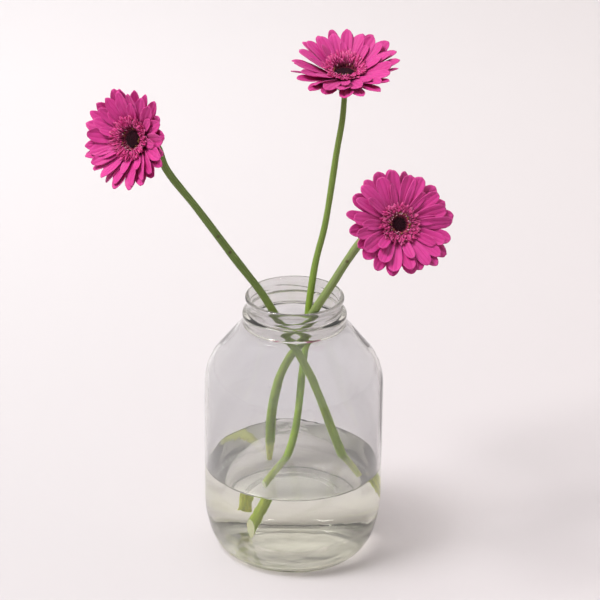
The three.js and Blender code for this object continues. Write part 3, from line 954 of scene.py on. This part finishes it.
def blade_tree():
    """Geometry Nodes that grow one curved blade from each point, by the numbers that the point holds."""
    tree = bpy.data.node_groups.new("blades round an axis", "GeometryNodeTree")
    sizes = {
        "Rows": ("NodeSocketInt", 20), "Columns": ("NodeSocketInt", 9),
        "Base width": ("NodeSocketFloat", 0.2), "Widest": ("NodeSocketFloat", 0.7),
        "Tip width": ("NodeSocketFloat", 0.8),
        "Tip round": ("NodeSocketFloat", 0.1), "Notch": ("NodeSocketFloat", 0.02),
        "Channel": ("NodeSocketFloat", 0.1), "Groove": ("NodeSocketFloat", 0.05),
        "Ripple": ("NodeSocketFloat", 0.1), "Seed": ("NodeSocketFloat", 1.0),
    }
    tree.interface.new_socket("Geometry", in_out="INPUT", socket_type="NodeSocketGeometry")
    for name, (kind, value) in sizes.items():
        tree.interface.new_socket(name, in_out="INPUT", socket_type=kind).default_value = value
    tree.interface.new_socket("Material", in_out="INPUT", socket_type="NodeSocketMaterial")
    tree.interface.new_socket("Geometry", in_out="OUTPUT", socket_type="NodeSocketGeometry")
    g = Graph(tree)
    points = g.add("NodeGroupInput", {}, {}, "Geometry")
    size = {name: g.also(points, name) for name in [*sizes, "Material"]}

    grid = g.add("GeometryNodeMeshGrid", {}, {"Size X": 1.0, "Size Y": 2.0, "Vertices X": size["Rows"],
                                              "Vertices Y": size["Columns"]}, "Mesh")
    spot = g.add("GeometryNodeInputPosition")
    x = g.add("ShaderNodeSeparateXYZ", {}, {"Vector": spot}, "X")
    y = g.also(x, "Y")
    for name, value in (("along", x + 0.5), ("across", y)):
        grid = g.add("GeometryNodeStoreNamedAttribute", {"data_type": "FLOAT", "domain": "POINT"},
                     {"Geometry": grid, "Name": name, "Value": value}, "Geometry")
    blades = g.add("GeometryNodeInstanceOnPoints", {}, {"Points": points, "Instance": grid}, "Instances")
    blades = g.add("GeometryNodeRealizeInstances", {}, {"Geometry": blades}, "Geometry")
    field = {name: g.stored(name) for name in ("along", "across", *BLADE_FIELDS)}
    place = blade_point(g, field, size)
    moved = g.add("GeometryNodeSetPosition", {}, {"Geometry": blades, "Position": place}, "Geometry")
    smooth = g.add("GeometryNodeSetShadeSmooth", {}, {"Geometry": moved}, "Geometry")
    plain = g.add("GeometryNodeRealizeInstances", {}, {"Geometry": smooth}, "Geometry")
    sockets = {"Geometry": plain, "Material": size["Material"]}
    finished = g.add("GeometryNodeSetMaterial", {}, sockets, "Geometry")
    g.add("NodeGroupOutput", {}, {"Geometry": finished})
    return tree


def blade_point(g, field, size):
    """Where a point of a blade lies: along an arc that climbs and bends, with a channelled section."""
    t, u = field["along"], field["across"]
    edge = (1 - (u * u) * 0.98).sqrt()
    teeth = (u * 7.5 + field["tone"] * 9).cos() * 0.5 + 0.5
    trim = size["Tip round"] * (1 - edge) + size["Notch"] * teeth * field["tone"]
    run = t - t ** 3 * trim
    swell = (run / size["Widest"]).at_most(1)
    swell = (swell * (math.pi / 2)).sin()
    past = ((run - size["Widest"]) / (1 - size["Widest"])).at_least(0)
    narrowing = 1 - (1 - size["Tip width"]) * past * past
    share = (size["Base width"] + (1 - size["Base width"]) * swell) * narrowing
    half = field["width"] * 0.5 * share

    angle = field["slope"] + field["bend"] * run
    slide = field["length"] / field["bend"]
    r = field["root"] + slide * (angle.sin() - field["slope"].sin())
    z = field["height"] + slide * (field["slope"].cos() - angle.cos())

    wander = g.join(t * 2.6, u * 0.9, field["tone"] * 50 + size["Seed"])
    ripple = (g.noise(wander, 1.0, 1.0) - 0.5) * size["Ripple"] * field["width"] * t
    grooves = abs(u).bell(0.33, 0.13) * size["Groove"] * (t * 4).at_most(1)
    tip = (run - 0.5).at_least(0)
    lift = (u * u - 1) * size["Channel"] * half - grooves * half + ripple + field["curl"] * tip * tip
    side = half * u

    roll = field["roll"] + field["twist"] * run
    beside = side * roll.cos() - lift * roll.sin()
    above = side * roll.sin() + lift * roll.cos()
    out = r - above * angle.sin() - field["root"]
    up = z + above * angle.cos()
    yaw = field["yaw"]
    forward = field["root"] + out * yaw.cos() - beside * yaw.sin()
    sideways = out * yaw.sin() + beside * yaw.cos()
    azimuth = field["azimuth"]
    return g.join(forward * azimuth.cos() - sideways * azimuth.sin(),
                  forward * azimuth.sin() + sideways * azimuth.cos(), up)


def grown(name, blades, tree, sizes, thickness, material, head):
    """Makes a piece from a list of blades: the tree runs, the sheet gets its thickness, and it is placed."""
    fields = {field: [blade[field] for blade in blades] for field in BLADE_FIELDS}
    for field in ("length", "width", "root", "height", "curl"):
        fields[field] = [value * MM for value in fields[field]]
    seeds = mesh_object(name, np.zeros((len(blades), 3)), [], fields)
    grow = seeds.modifiers.new("grow", "NODES")
    grow.node_group = tree
    for socket in tree.interface.items_tree:
        if socket.in_out == "INPUT" and socket.name in sizes:
            grow[socket.identifier] = sizes[socket.name]
        elif socket.in_out == "INPUT" and socket.name == "Material":
            grow[socket.identifier] = material
    thicken = seeds.modifiers.new("thicken", "SOLIDIFY")
    thicken.thickness = thickness * MM
    thicken.offset = 0
    return made_plain(seeds, head)


def made_plain(piece, place=None):
    """Replaces a piece's mesh and modifiers by their plain result, moved to its place."""
    evaluated = piece.evaluated_get(bpy.context.evaluated_depsgraph_get())
    mesh = bpy.data.meshes.new_from_object(evaluated)
    piece.modifiers.clear()
    piece.data = mesh
    if place is not None:
        mesh.transform(place)
    return finish_mesh(piece)


def placed(flower):
    """The bloom's frame in metres, as a matrix for meshes."""
    matrix = head_frame(flower)
    matrix.translation = matrix.translation * MM
    return matrix


def rise_at(flower, azimuth):
    lean = flower["lean"] * math.cos(azimuth - math.radians(flower["lean_side"]))
    return math.radians(flower["rise"] + lean)


def blade(**numbers):
    """One blade's numbers, with plain ones where none are given."""
    return {**dict.fromkeys(BLADE_FIELDS, 0.0), "bend": -0.05, **numbers}


def ray_blades(flower):
    """Ray petals in their layers, by the CAD's rule, with small changes of width, twist and curl."""
    blades = []
    for k, layer in enumerate(RAY_LAYERS):
        series = flower["seed"] + 10 * k
        step = 2 * math.pi / layer["count"]
        for i in range(layer["count"]):
            azimuth = step * (i + 0.5 * (k % 2) + spread(i, series, 0.16))
            rise = rise_at(flower, azimuth) + math.radians(spread(i, series + 1, 1.6))
            length = flower["reach"] * layer["reach"] - RAY["root_radius"]
            blades.append(blade(
                azimuth=azimuth,
                slope=rise + math.radians(layer["tilt"] + RAY["droop"] / 2),
                bend=-math.radians(RAY["droop"]),
                length=length * (1 + spread(i, series + 2, 0.06)),
                width=layer["width"] * (1 + spread(i, series + 5, 0.14)),
                root=RAY["root_radius"],
                height=layer["root"],
                roll=math.radians(RAY["roll"] + spread(i, series + 3, 3)),
                twist=math.radians(spread(i, series + 6, 24)),
                yaw=math.radians(spread(i, series + 4, 5)),
                curl=spread(i, series + 7, 9),
                tone=chance(i, series + 8),
            ))
    return blades


def above_rays(flower, azimuth, radius, clear):
    upper = RAY_LAYERS[-1]
    slope = rise_at(flower, azimuth) + math.radians(upper["tilt"] + RAY["droop"] / 2)
    return upper["root"] + (radius - RAY["root_radius"]) * math.tan(slope) + clear / math.cos(slope)


def chord_blade(root, height, reach, tip, bend, **numbers):
    """A blade whose arc runs from its root to its tip, with the given bend."""
    chord = math.hypot(reach - root, tip - height)
    climb = math.atan2(tip - height, reach - root)
    length = chord * (bend / 2) / math.sin(bend / 2)
    return blade(root=root, height=height, slope=climb - bend / 2, bend=bend, length=length, **numbers)


def ruff_blades(flower):
    """Small curled florets in rows between the rays and the disc."""
    blades = []
    shift = (flower["disc"] - EYE["radius"]) / 2
    for k, row in enumerate(RUFF_ROWS):
        series = flower["seed"] + 50 + 10 * k
        for i in range(row["count"]):
            azimuth = 2 * math.pi * (i + 0.5 * k + spread(i, series, 0.35)) / row["count"]
            reach = row["reach"] * (1 + spread(i, series + 1, 0.06)) + shift
            tip = above_rays(flower, azimuth, reach, row["above"] + spread(i, series + 2, 0.7))
            blades.append(chord_blade(
                row["root"] + shift, row["height"], reach, tip, math.radians(-25 + spread(i, series + 3, 45)),
                azimuth=azimuth,
                width=row["width"] * (1 + spread(i, series + 4, 0.25)),
                roll=math.radians(spread(i, series + 5, 35)),
                twist=math.radians(spread(i, series + 6, 70)),
                yaw=math.radians(spread(i, series + 7, 14)),
                curl=spread(i, series + 8, 4),
                tone=chance(i, series + 9),
            ))
    return blades


def thread_blades(flower):
    """Threads that stand round the disc."""
    series = flower["seed"] + 200
    blades = []
    for i in range(THREADS["count"]):
        azimuth = 2 * math.pi * (i + spread(i, series, 0.35)) / THREADS["count"]
        blades.append(blade(
            azimuth=azimuth,
            slope=math.radians(50 + spread(i, series + 1, 24)),
            bend=math.radians(spread(i, series + 2, 50)),
            length=THREADS["length"] * (1 + spread(i, series + 3, 0.2)),
            width=THREADS["width"],
            root=flower["disc"] + 0.7 + spread(i, series + 4, 0.35),
            height=THREADS["height"],
            twist=math.radians(spread(i, series + 5, 40)),
            tone=chance(i, series + 6),
        ))
    return blades


def bract_blades(flower):
    """Pointed green bracts that close round the cup under the rays."""
    blades = []
    for k, row in enumerate(BRACT_ROWS):
        series = flower["seed"] + 80 + 10 * k
        for i in range(row["count"]):
            azimuth = 2 * math.pi * (i + row["phase"]) / row["count"]
            reach = row["reach"] + spread(i, series, 0.8)
            slope = rise_at(flower, azimuth) + math.radians(RAY_LAYERS[0]["tilt"])
            climb = (reach - RAY["root_radius"]) * math.tan(slope)
            tip = RAY_LAYERS[0]["root"] - 2.2 + min(climb, 0.7 * climb) + row["tip"]
            blades.append(chord_blade(
                row["root"], row["height"], reach, tip, math.radians(-48),
                azimuth=azimuth,
                width=row["width"] * (1 + spread(i, series + 1, 0.12)),
                roll=math.radians(spread(i, series + 2, 6)),
                tone=chance(i, series + 3),
            ))
    return blades


def core_piece(flower, material):
    """The core that the florets and rays grow from, with a low crimson skirt under the ruff. Both show the
    ruff's dark root colour, which is painted shade.
    """
    sides = 72
    angles = np.linspace(0, 2 * math.pi, sides, endpoint=False)
    line = rounded([
        (0.01, CORE["bottom"]), (CORE["radius"] - 1.4, CORE["bottom"]), (CORE["radius"] - 0.4, -0.6),
        (CORE["radius"] - 0.6, 1.0),
    ], 2)
    rings = [np.stack([r * np.cos(angles), r * np.sin(angles), np.full(sides, z)], 1) for r, z in line]
    for reach, clear in SKIRT:
        heights = [above_rays(flower, a, reach, clear) for a in angles]
        rings.append(np.stack([reach * np.cos(angles), reach * np.sin(angles), heights], 1))
    disc = flower["disc"]
    for r, z in ((disc + 1.7, 3.2), (disc + 0.9, 2.8), (disc + 0.2, 2.2), (0.01, 2.1)):
        rings.append(np.stack([r * np.cos(angles), r * np.sin(angles), np.full(sides, z)], 1))
    points, faces = skin([ring * MM for ring in rings])
    count = len(points)
    # At 0.25 along, the whole core takes the ruff's dark root colour, which is painted shade.
    fields = {"along": np.full(count, 0.25), "across": np.zeros(count), "tone": np.full(count, 0.2)}
    piece = mesh_object(f"{flower['name']}_core", points, faces, fields)
    finish_mesh(piece, material)
    piece.data.transform(placed(flower))
    return piece


# Discs, hairs and drops

def scatter_tree(name, shape_node, shape_sockets, shape_output):
    """Geometry Nodes that put one small shape on each point, turned and sized by the point's numbers."""
    tree = bpy.data.node_groups.new(name, "GeometryNodeTree")
    tree.interface.new_socket("Geometry", in_out="INPUT", socket_type="NodeSocketGeometry")
    tree.interface.new_socket("Size", in_out="INPUT", socket_type="NodeSocketFloat").default_value = 1.0
    tree.interface.new_socket("Material", in_out="INPUT", socket_type="NodeSocketMaterial")
    tree.interface.new_socket("Geometry", in_out="OUTPUT", socket_type="NodeSocketGeometry")
    g = Graph(tree)
    points = g.add("NodeGroupInput", {}, {}, "Geometry")
    size, material = g.also(points, "Size"), g.also(points, "Material")
    shape = g.add(shape_node, {}, shape_sockets, shape_output)
    spot = g.add("GeometryNodeInputPosition")
    height = g.add("ShaderNodeSeparateXYZ", {}, {"Vector": spot}, "Z") * 0.5 + 0.5
    shape = g.add("GeometryNodeStoreNamedAttribute", {"data_type": "FLOAT", "domain": "POINT"},
                  {"Geometry": shape, "Name": "along", "Value": height}, "Geometry")
    read = {name: g.stored(name) for name in ("lean", "azimuth", "scale", "stretch")}
    wide = read["scale"] * size
    turned = g.add("GeometryNodeInstanceOnPoints", {}, {
        "Points": points,
        "Instance": shape,
        "Rotation": g.join(0.0, read["lean"], read["azimuth"]),
        "Scale": g.join(wide, wide, wide * read["stretch"]),
    }, "Instances")
    plain = g.add("GeometryNodeRealizeInstances", {}, {"Geometry": turned}, "Geometry")
    smooth = g.add("GeometryNodeSetShadeSmooth", {}, {"Geometry": plain}, "Geometry")
    finished = g.add("GeometryNodeSetMaterial", {}, {"Geometry": smooth, "Material": material}, "Geometry")
    g.add("NodeGroupOutput", {}, {"Geometry": finished})
    return tree


def scattered(name, points, fields, tree, size, material, place=None):
    piece = mesh_object(name, np.array(points) * MM, [], fields)
    scatter = piece.modifiers.new("scatter", "NODES")
    scatter.node_group = tree
    for socket in tree.interface.items_tree:
        if socket.in_out == "INPUT" and socket.name in ("Size", "Material"):
            scatter[socket.identifier] = size if socket.name == "Size" else material
    return made_plain(piece, place)


def disc_piece(flower, tree, material):
    """Unopened florets packed on a low dome, each turned on from the last by the golden angle."""
    points, fields = [], {"lean": [], "azimuth": [], "scale": [], "stretch": [], "tone": []}
    golden = math.pi * (3 - math.sqrt(5))
    buds = round(EYE["buds"] * (flower["disc"] / EYE["radius"]) ** 2)
    for i in range(buds):
        share = math.sqrt((i + 0.5) / buds)
        radius = (flower["disc"] - EYE["bud"]) * share
        height = EYE["shoulder"] + (EYE_TOP - 0.7 - EYE["shoulder"]) * (1 - share ** 2)
        azimuth = i * golden
        points.append((radius * math.cos(azimuth), radius * math.sin(azimuth), height))
        fields["lean"].append(0.75 * share + spread(i, flower["seed"] + 300, 0.12))
        fields["azimuth"].append(azimuth)
        fields["scale"].append(EYE["bud"] * (1 + spread(i, flower["seed"] + 301, 0.12)))
        fields["stretch"].append(EYE["stretch"])
        fields["tone"].append(chance(i, flower["seed"] + 302))
    return scattered(f"{flower['name']}_disc", points, fields, tree, MM, material, placed(flower))


def hair_piece(flower, tree, material):
    """Fine short hairs all over the stem above the water."""
    at, middles, radii = stem_sections(flower)
    _, across, upwards = carried_frames(middles)
    points, fields = [], {"lean": [], "azimuth": [], "scale": [], "stretch": []}
    for i in range(HAIRS["count"]):
        place = chance(i, flower["seed"] + 400) * (len(at) - 2)
        k = int(place)
        if middles[k][2] < WATER["level"] + 4:
            continue
        turn = 2 * math.pi * chance(i, flower["seed"] + 401)
        out = across[k] * math.cos(turn) + upwards[k] * math.sin(turn)
        middle = middles[k] + (middles[k + 1] - middles[k]) * (place - k)
        points.append(middle + out * radii[k] * 0.99)
        fields["lean"].append(math.acos(max(-1, min(1, out[2]))) - 0.35 * chance(i, flower["seed"] + 402))
        fields["azimuth"].append(math.atan2(out[1], out[0]))
        fields["scale"].append(HAIRS["width"])
        fields["stretch"].append(HAIRS["length"] + HAIRS["growth"] * chance(i, flower["seed"] + 403))
    return scattered(f"{flower['name']}_hairs", points, fields, tree, MM, material)


def drop_piece(tree, material):
    """Small drops on the inside of the glass above the water."""
    points, fields = [], {"lean": [], "azimuth": [], "scale": [], "stretch": []}
    wall = JAR["body_radius"] - JAR["wall"]
    for i in range(DROPS["count"]):
        azimuth = 2 * math.pi * chance(i, 500)
        z = WATER["level"] + DROPS["above"] + DROPS["climb"] * chance(i, 501) ** 2
        size = DROPS["size"] + DROPS["growth"] * chance(i, 502) ** 2
        points.append(((wall + 0.1) * math.cos(azimuth), (wall + 0.1) * math.sin(azimuth), z))
        fields["lean"].append(-math.pi / 2)
        fields["azimuth"].append(azimuth)
        fields["scale"].append(size)
        fields["stretch"].append(DROPS["height"])
    return scattered("water_drops", points, fields, tree, MM, material)


# Joining, riding, and hiding the CAD parts that the pieces stand for

def merged(name, pieces):
    """Joins pieces into the first one under a new name."""
    target = pieces[0]
    with bpy.context.temp_override(active_object=target, object=target, selected_objects=pieces,
                                   selected_editable_objects=pieces):
        bpy.ops.object.join()
    target.name = name
    return target


def declare(piece, slot, *nodes):
    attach(piece, "root")
    if nodes:
        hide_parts(*nodes)


def build_jar():
    declare(jar_piece(clear_material("jar glass", GLASS)), "glass", "jar")
    water = clear_material("jar water", CLEAR_WATER)
    declare(water_piece(water), "water", "water")
    declare(drop_piece(ball_tree("small drops"), water), "water")


def ball_tree(name):
    return scatter_tree(name, "GeometryNodeMeshIcoSphere", {"Radius": 1.0, "Subdivisions": 2}, "Mesh")


def spike_tree(name):
    cone = {"Vertices": 5, "Side Segments": 1, "Radius Top": 0.15, "Radius Bottom": 1.0, "Depth": 1.0}
    return scatter_tree(name, "GeometryNodeMeshCone", cone, "Mesh")


RAY_SIZES = {
    "Rows": 26, "Columns": 13, "Base width": 0.26, "Widest": 0.68, "Notch": 0.014, "Channel": 0.16,
    "Groove": 0.07, "Ripple": 0.17, "Seed": 1.0,
}
RUFF_SIZES = {
    "Rows": 8, "Columns": 4, "Base width": 0.36, "Widest": 0.8, "Tip width": 0.85, "Tip round": 0.28,
    "Notch": 0.12, "Channel": 0.7, "Groove": 0.0, "Ripple": 0.4, "Seed": 2.0,
}
THREAD_SIZES = {
    "Rows": 7, "Columns": 3, "Base width": 0.6, "Widest": 0.95, "Tip width": 0.6, "Tip round": 0.05,
    "Notch": 0.0, "Channel": 0.4, "Groove": 0.0, "Ripple": 0.4, "Seed": 3.0,
}
BRACT_SIZES = {
    "Rows": 10, "Columns": 5, "Base width": 0.8, "Widest": 0.3, "Tip width": 0.12, "Tip round": 0.1,
    "Notch": 0.0, "Channel": -0.4, "Groove": 0.0, "Ripple": 0.1, "Seed": 4.0,
}
# For each stem: its low and high greens, how far painted light lifts the part under the water, and its brown
# marks.
STEM_LOOKS = {
    "left": ((160, 190, 66), (88, 110, 42), 0.8, [(-52.3, -44.9, 286.9), (-61.7, -48.5, 302.2)]),
    "top": ((140, 172, 28), (98, 121, 42), 0.3, []),
    "right": ((148, 172, 66), (115, 127, 80), 1.0, [(41.9, -39.5, 277.5)]),
}


def build_flowers():
    blades, buds, spikes = blade_tree(), ball_tree("disc buds"), spike_tree("stem hairs")
    petal, ruff, thread, disc = petal_material(), ruff_material(), thread_material(), disc_material()
    bract, hair = bract_material(), hair_material()
    for flower in FLOWERS:
        name, head = flower["name"], placed(flower)
        tip_width, tip_round = flower["petal_tip"]
        sizes = {**RAY_SIZES, "Tip width": tip_width, "Tip round": tip_round}
        rays = grown(f"{name}_petals", ray_blades(flower), blades, sizes, 0.45, petal, head)
        declare(rays, "rays", f"{name}_rays")
        florets = grown(f"{name}_ruff_florets", ruff_blades(flower), blades, RUFF_SIZES, 0.35, ruff, head)
        florets = merged(f"{name}_ruff_florets", [florets, core_piece(flower, ruff)])
        declare(florets, "ruff", f"{name}_ruff")
        threads = grown(f"{name}_threads", thread_blades(flower), blades, THREAD_SIZES, 0.5, thread, head)
        declare(threads, "ruff")
        declare(disc_piece(flower, buds, disc), "eye", f"{name}_eye")
        bracts = grown(f"{name}_bracts", bract_blades(flower), blades, BRACT_SIZES, 0.5, bract, head)
        declare(bracts, "stem")
        low, high, underwater_lift, marks = STEM_LOOKS[name]
        green = stem_material(f"{name} stem green", srgb(*low), srgb(*high), underwater_lift, marks)
        declare(stem_piece(flower, green), "stem", f"{name}_stem")
        declare(hair_piece(flower, spikes, hair), "stem")


# The stage: its places and sizes are in metres, and its lamps' power in watts

STUDIO = {
    "floor_half": 6.0, "wall_far": 5.9, "wall_height": 5.0, "dome_far": 6.6, "dome_top": 1.5, "sides": 32,
    "dome_rings": 10,
}
LAMPS = [
    {"name": "key softbox", "place": (-2.45, -1, 4.75), "width": 2.0, "power": 315, "mirrored": False},
    {"name": "left glint", "place": (-1.66, -0.36, 3.1), "width": 0.8, "power": 90, "mirrored": True},
    {"name": "right glint", "place": (1.34, -0.6, 3.2), "width": 0.4, "power": 14, "mirrored": True},
]
SKY = {"colour": (1.0, 0.99, 0.985, 1), "strength": 0.4}


def build_floor():
    half = STUDIO["floor_half"]
    corners = [(-half, -half, 0), (half, -half, 0), (half, half, 0), (-half, half, 0)]
    floor = mesh_object("studio_floor", corners, [(0, 1, 2, 3)])
    floor.data.materials.append(floor_material())


def studio_material(name, light, dark, glow, dimming):
    """A softly glowing surface. What it sends on to other things by way of a matt one is dimmed."""
    m = Material(name)
    colour = m.blend(m.noise(m.place, 0.5, 2), light, dark)
    sent_on = m.add("ShaderNodeLightPath", {}, {}, "Diffuse Depth").at_most(1)
    m.shade(
        Base_Color=colour,
        Roughness=0.9,
        Specular_IOR_Level=0.0,
        Emission_Color=m.blend(sent_on * dimming, colour, (0, 0, 0)),
        Emission_Strength=glow,
    )
    return m.material


def build_wall():
    """A pale round wall far behind, which lights the floor from the back and shows through the glass."""
    far, height, steps = STUDIO["wall_far"], STUDIO["wall_height"], STUDIO["sides"]
    turns = [math.radians(-30 + 240 * i / steps) for i in range(steps + 1)]
    points = [(far * math.cos(a), far * math.sin(a), z) for z in (0, height) for a in turns]
    faces = [(i, i + 1, i + steps + 2, i + steps + 1) for i in range(steps)]
    wall = mesh_object("studio_wall", points, faces)
    pale = studio_material("pale wall", srgb(240, 236, 236), srgb(232, 228, 228), 0.3, 0.0)
    wall.data.materials.append(pale)


def build_dome():
    """A pale round studio beyond it, which glass and water show, but which lights nothing matt."""
    far, sides = STUDIO["dome_far"], STUDIO["sides"]
    turns = np.linspace(0, 2 * math.pi, sides, endpoint=False)
    rings = []
    for a in np.linspace(0, STUDIO["dome_top"], STUDIO["dome_rings"]):
        out, height = far * math.cos(a), far * math.sin(a)
        rings.append(np.stack([out * np.cos(turns), out * np.sin(turns), np.full(sides, height)], 1))
    dome = mesh_object("studio_dome", *skin(rings, closed_ends=False))
    pale = studio_material("pale studio", srgb(202, 199, 200), srgb(192, 190, 191), 1.15, 0.75)
    dome.data.materials.append(pale)
    dome.visible_diffuse = False
    dome.visible_shadow = False


def area_lamp(name, place, width, power, mirrored):
    """A square lamp that looks at the jar. A mirrored one is only a glint, and the others only light."""
    lamp = bpy.data.lights.new(name, "AREA")
    lamp.shape = "SQUARE"
    lamp.size = width
    lamp.energy = power
    lit = bpy.data.objects.new(name, lamp)
    lit.location = place
    lit.rotation_euler = (Vector((0, 0, 0.2)) - Vector(place)).to_track_quat("-Z", "Y").to_euler()
    lit.visible_glossy = mirrored
    lit.visible_diffuse = not mirrored
    lit.visible_transmission = mirrored
    bpy.context.scene.collection.objects.link(lit)


def build_light():
    world = bpy.data.worlds.new("soft studio")
    world.use_nodes = True
    sky = world.node_tree.nodes["Background"]
    sky.inputs["Color"].default_value = SKY["colour"]
    sky.inputs["Strength"].default_value = SKY["strength"]
    bpy.context.scene.world = world
    for lamp in LAMPS:
        area_lamp(**lamp)
    bpy.context.scene.view_settings.view_transform = "Standard"


def build_camera():
    """The camera looks at its target from the front, raised and rolled a little."""
    raised, roll = math.radians(CAMERA["elevation"]), math.radians(CAMERA["roll"])
    target = Vector(CAMERA["target"]) * MM
    back = Vector((0, -math.cos(raised), math.sin(raised)))
    level, upwards = Vector((1, 0, 0)), Vector((0, math.sin(raised), math.cos(raised)))
    side = level * math.cos(roll) + upwards * math.sin(roll)
    top = upwards * math.cos(roll) - level * math.sin(roll)
    lens = bpy.data.cameras.new("photo view")
    lens.sensor_width = SENSOR_WIDTH
    lens.lens = CAMERA["focal"] * SENSOR_WIDTH / IMAGE_WIDTH
    lens.clip_end = 50
    camera = bpy.data.objects.new("photo view", lens)
    turn = Matrix((side, top, back)).transposed().to_4x4()
    camera.matrix_world = Matrix.Translation(target + back * CAMERA["distance"] * MM) @ turn
    bpy.context.scene.collection.objects.link(camera)
    bpy.context.scene.camera = camera


build_camera()
build_light()
build_floor()
build_wall()
build_dome()
build_jar()
build_flowers()
